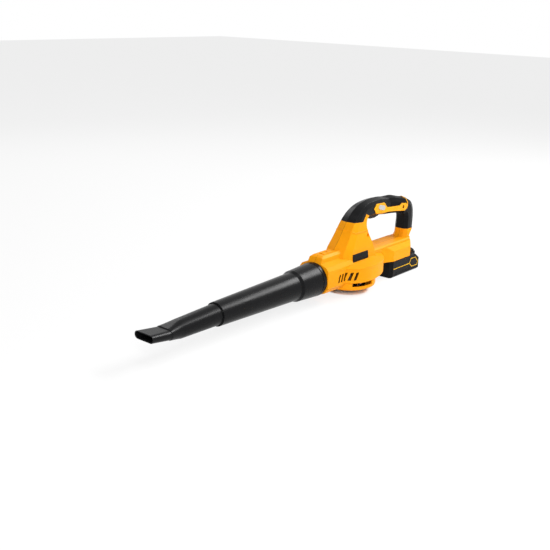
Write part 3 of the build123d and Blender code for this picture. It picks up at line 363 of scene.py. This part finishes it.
# bearings round the post's middle line, with the bead's top height at each
BEAD = [(-42, 0.130), (-88, 0.130), (-128, 0.1304), (-146, 0.1344), (-167, 0.1364), (-180, 0.1367)]
BEAD += [(-360 - bearing, height) for bearing, height in BEAD[-2::-1]]
bead = []
for (bearing0, z0), (bearing1, z1) in zip(BEAD, BEAD[1:]):
    for k in range(12):
        bearing = math.radians(bearing0 + (bearing1 - bearing0) * k / 12)
        way = Vector((math.cos(bearing), math.sin(bearing), 0))
        start = Vector((0.008, 0, z0 + (z1 - z0) * k / 12)) + way * 0.08
        point, normal, _, _ = housing.ray_cast(start, -way)
        if point is not None:
            bead.append((point, Vector((normal.x, normal.y, 0)).normalized(), Vector((0, 0, 1))))
BEAD_PROFILE = [(-0.0052, -0.0012), (-0.0046, 0.0009), (-0.0006, 0.0018), (0.0, 0.0006), (0.0, -0.0012)]
laid_strip("post_bead", bead, BEAD_PROFILE, "housing", "yellow")
print("post bead:", len(bead), "seats")

# %% [markdown]
# The rib over the vents runs on both sides, from the duct to the widest part of the fan drum.

# %% Ribs over the vents
RIB = [(-0.077, 0.0643), (-0.051, 0.0622), (-0.03, 0.0626), (-0.01, 0.062), (0.027, 0.0598)]
RIB_PROFILE = [(-0.0007, -0.001), (-0.0006, 0.0005), (0.0003, 0.0006), (0.0009, -0.001)]
for side, name in ((-1, "left_vent_rib"), (1, "right_vent_rib")):
    seats = side_seats(housing, RIB, side)
    laid_strip(name, seats, RIB_PROFILE[::side], "housing", "yellow")
    print(name, len(seats), "seats")

# %% [markdown]
# The battery's lower sides carry rows of fine ribs, which help a hand pull it off.
# One mesh per row is enough; each rib is a low bar with sloping flanks, seated on the wall by two rays.

# %% Rows of ribs
def rib_row(name, lines, half, height, body, slot):
    """Low bars, each from one seat to another; a seat is (point, outward way)."""
    corners, faces = [], []
    for (start, out0), (end, out1) in lines:
        along = (end - start).normalized()
        first = len(corners)
        for point, out in ((start, out0), (end, out1)):
            aside = out.cross(along).normalized()
            corners += [point - aside * half - out * 0.0004, point - aside * half * 0.4 + out * height,
                        point + aside * half * 0.4 + out * height, point + aside * half - out * 0.0004]
        faces += [tuple(first + i for i in quad) for quad in
                  ((0, 1, 2, 3), (4, 7, 6, 5), (0, 4, 5, 1), (1, 5, 6, 2), (2, 6, 7, 3), (3, 7, 4, 0))]
    return piece(name, corners, faces, body, slot, smooth=False)


def seat_from_side(surface, x, z, side):
    point, normal, _, _ = surface.ray_cast(Vector((x, side * 0.3, z)), Vector((0, -side, 0)))
    return None if point is None else (point, normal.normalized())


lower_case = tree_of("battery_lower_case")
case_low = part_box("battery_lower_case")[0]
for side, name in ((-1, "left_battery_ribs"), (1, "right_battery_ribs")):
    lines = []
    for k in range(17):
        x = case_low.x + 0.016 + 0.0052 * k
        ends = [seat_from_side(lower_case, x, case_low.z + 0.004, side),
                seat_from_side(lower_case, x + 0.0045, case_low.z + 0.0115, side)]
        if None not in ends:
            lines.append(ends)
    rib_row(name, lines, 0.0009, 0.0005, "battery", "black")
    print(name, len(lines), "ribs")

# %% [markdown]
# Three coil springs get shorter when their trigger or button is pressed.
# Each coil is copied from its CAD node and rides on the same body, at the length it has in the CAD.
# A real coil stops when its turns lie on each other; the script prints how much room each spring has left
# above its stacked wire when pressed.
# The battery release and tube lock springs reach that point before their buttons reach their stops.
# That is an open fault of the solids, and it is left to show here instead of being flattened away.

# %% Spring coils copied from their CAD nodes
TURNS = 3
# node, body, joint, height of the end that stays, travel at the coil, wire thickness
SPRINGS = (
    ("trigger_spring", "housing", "trigger_pull", 0.1669, 0.0047, 0.0009),
    ("tube_lock_spring", "housing", "tube_lock_press", 0.086, 0.0025, 0.0008),
    ("battery_release_springs", "battery", "battery_release_press", 0.0304, 0.003, 0.0007),
)
for name, body, joint, fixed_end, travel, wire in SPRINGS:
    source = nodes[name]
    heights = [(source.matrix_world @ corner.co).z for corner in source.data.vertices]
    length = max(heights) - min(heights)
    stacked = (TURNS + 1) * wire
    coil = bpy.data.objects.new(name + "_coil", source.data.copy())
    coil.matrix_world = source.matrix_world
    bpy.context.scene.collection.objects.link(coil)
    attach(coil, body)
    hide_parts(name)
    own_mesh(coil)
    spare = 1000 * (length - travel - stacked)
    print(name, "is", round(1000 * length, 2), "mm long, with", round(spare, 2), "mm left when pressed")

# %% [markdown]
# The blower stands on a plain pale floor under a pale world.
# Four soft lamps and the world light it softly, at a level where a colour renders about as it is written.

# %% Floor, world and lamps
floor_mesh = bpy.data.meshes.new("floor")
reach = 9.0
floor_mesh.from_pydata([(-reach, -reach, 0), (reach, -reach, 0), (reach, reach, 0), (-reach, reach, 0)], [],
                       [(0, 1, 2, 3)])
floor = bpy.data.objects.new("floor", floor_mesh)
bpy.context.scene.collection.objects.link(floor)
floor.location.z = -0.0002
paper = bpy.data.materials.new("paper_floor")
paper.use_nodes = True
sheet = paper.node_tree
matt = sheet.nodes["Principled BSDF"]
matt.inputs["Base Color"].default_value = (0.9, 0.9, 0.9, 1)
matt.inputs["Roughness"].default_value = 0.9
matt.inputs["Specular IOR Level"].default_value = 0.1
floor_mesh.materials.append(paper)


def rays_that_see(tree):
    """1 for the rays that look at the backdrop or mirror it, 0 for those that light the object."""
    rays = add_node(tree, "ShaderNodeLightPath")
    seen = add_node(tree, "ShaderNodeMath", operation="MAXIMUM")
    both = add_node(tree, "ShaderNodeMath", operation="MAXIMUM")
    tree.links.new(rays.outputs["Is Camera Ray"], seen.inputs[0])
    tree.links.new(rays.outputs["Is Glossy Ray"], seen.inputs[1])
    tree.links.new(seen.outputs[0], both.inputs[0])
    tree.links.new(rays.outputs["Is Transmission Ray"], both.inputs[1])
    return both.outputs[0]


paper_white = add_node(sheet, "ShaderNodeEmission")
paper_white.inputs["Strength"].default_value = 1.0
share = add_node(sheet, "ShaderNodeMath", operation="MULTIPLY")
sheet.links.new(rays_that_see(sheet), share.inputs[0])
# right under the air hole the paper is only lit by what reaches it, so the bowl looks deep
spot = add_node(sheet, "ShaderNodeTexCoord").outputs["Object"]
away = add_node(sheet, "ShaderNodeVectorMath", operation="LENGTH")
sheet.links.new(spot, away.inputs[0])
fade = add_node(sheet, "ShaderNodeMapRange", interpolation_type="SMOOTHSTEP")
fade.inputs["From Min"].default_value = 0.045
fade.inputs["From Max"].default_value = 0.053
fade.inputs["To Max"].default_value = 0.8
sheet.links.new(away.outputs["Value"], fade.inputs["Value"])
sheet.links.new(fade.outputs["Result"], share.inputs[1])
veil = add_node(sheet, "ShaderNodeMixShader")
sheet.links.new(share.outputs[0], veil.inputs[0])
sheet.links.new(matt.outputs[0], veil.inputs[1])
sheet.links.new(paper_white.outputs[0], veil.inputs[2])
sheet.links.new(veil.outputs[0], sheet.nodes["Material Output"].inputs["Surface"])

world = bpy.data.worlds.new("pale_room")
bpy.context.scene.world = world
world.use_nodes = True
room = world.node_tree
ambient = room.nodes["Background"]
ambient.inputs["Color"].default_value = (1, 1, 1, 1)
ambient.inputs["Strength"].default_value = 0.26
white = add_node(room, "ShaderNodeBackground")
white.inputs["Color"].default_value = (1, 1, 1, 1)
white.inputs["Strength"].default_value = 1.0
choose = add_node(room, "ShaderNodeMixShader")
room.links.new(rays_that_see(room), choose.inputs[0])
room.links.new(ambient.outputs[0], choose.inputs[1])
room.links.new(white.outputs[0], choose.inputs[2])
room.links.new(choose.outputs[0], room.nodes["World Output"].inputs["Surface"])


def soft_lamp(name, place, aim, size, watts):
    lamp = bpy.data.lights.new(name, "AREA")
    lamp.shape = "RECTANGLE"
    lamp.size, lamp.size_y = size
    lamp.energy = watts
    holder = bpy.data.objects.new(name, lamp)
    holder.location = place
    holder.rotation_euler = (Vector(aim) - Vector(place)).to_track_quat("-Z", "Y").to_euler()
    bpy.context.scene.collection.objects.link(holder)
    return holder


soft_lamp("top_softbox", (-0.5, -0.3, 2.2), (-0.1, 0, 0.1), (1.1, 0.6), 8)
soft_lamp("front_softbox", (-1.5, -1.2, 0.9), (-0.1, 0, 0.1), (0.7, 0.7), 24)
soft_lamp("stripe_softbox", (1.5, -0.75, 1.55), (-0.3, 0, 0.05), (1.5, 0.6), 56)
soft_lamp("back_softbox", (0.6, 1.9, 1.3), (0, 0, 0.1), (1.0, 0.7), 6)

# %% [markdown]
# The camera looks along the tube towards the handle, from the left and a little above.

# %% Camera
lens = bpy.data.cameras.new("camera")
camera = bpy.data.objects.new("camera", lens)
bpy.context.scene.collection.objects.link(camera)
right = Vector((0.64603065, -0.76285854, 0.02629168))
down = Vector((-0.21871371, -0.21799909, -0.95112602))
ahead = Vector((0.73130617, 0.60870621, -0.30768172))
turn = Matrix((right, -down, -ahead)).transposed().to_4x4()
camera.matrix_world = Matrix.Translation((-1.46804, -1.01779, 0.59962)) @ turn
lens.sensor_width = 36
lens.lens = 36 * 853.25 / 550
bpy.context.scene.camera = camera
bpy.context.scene.view_settings.view_transform = "Standard"
print("lens", round(lens.lens, 1), "mm")
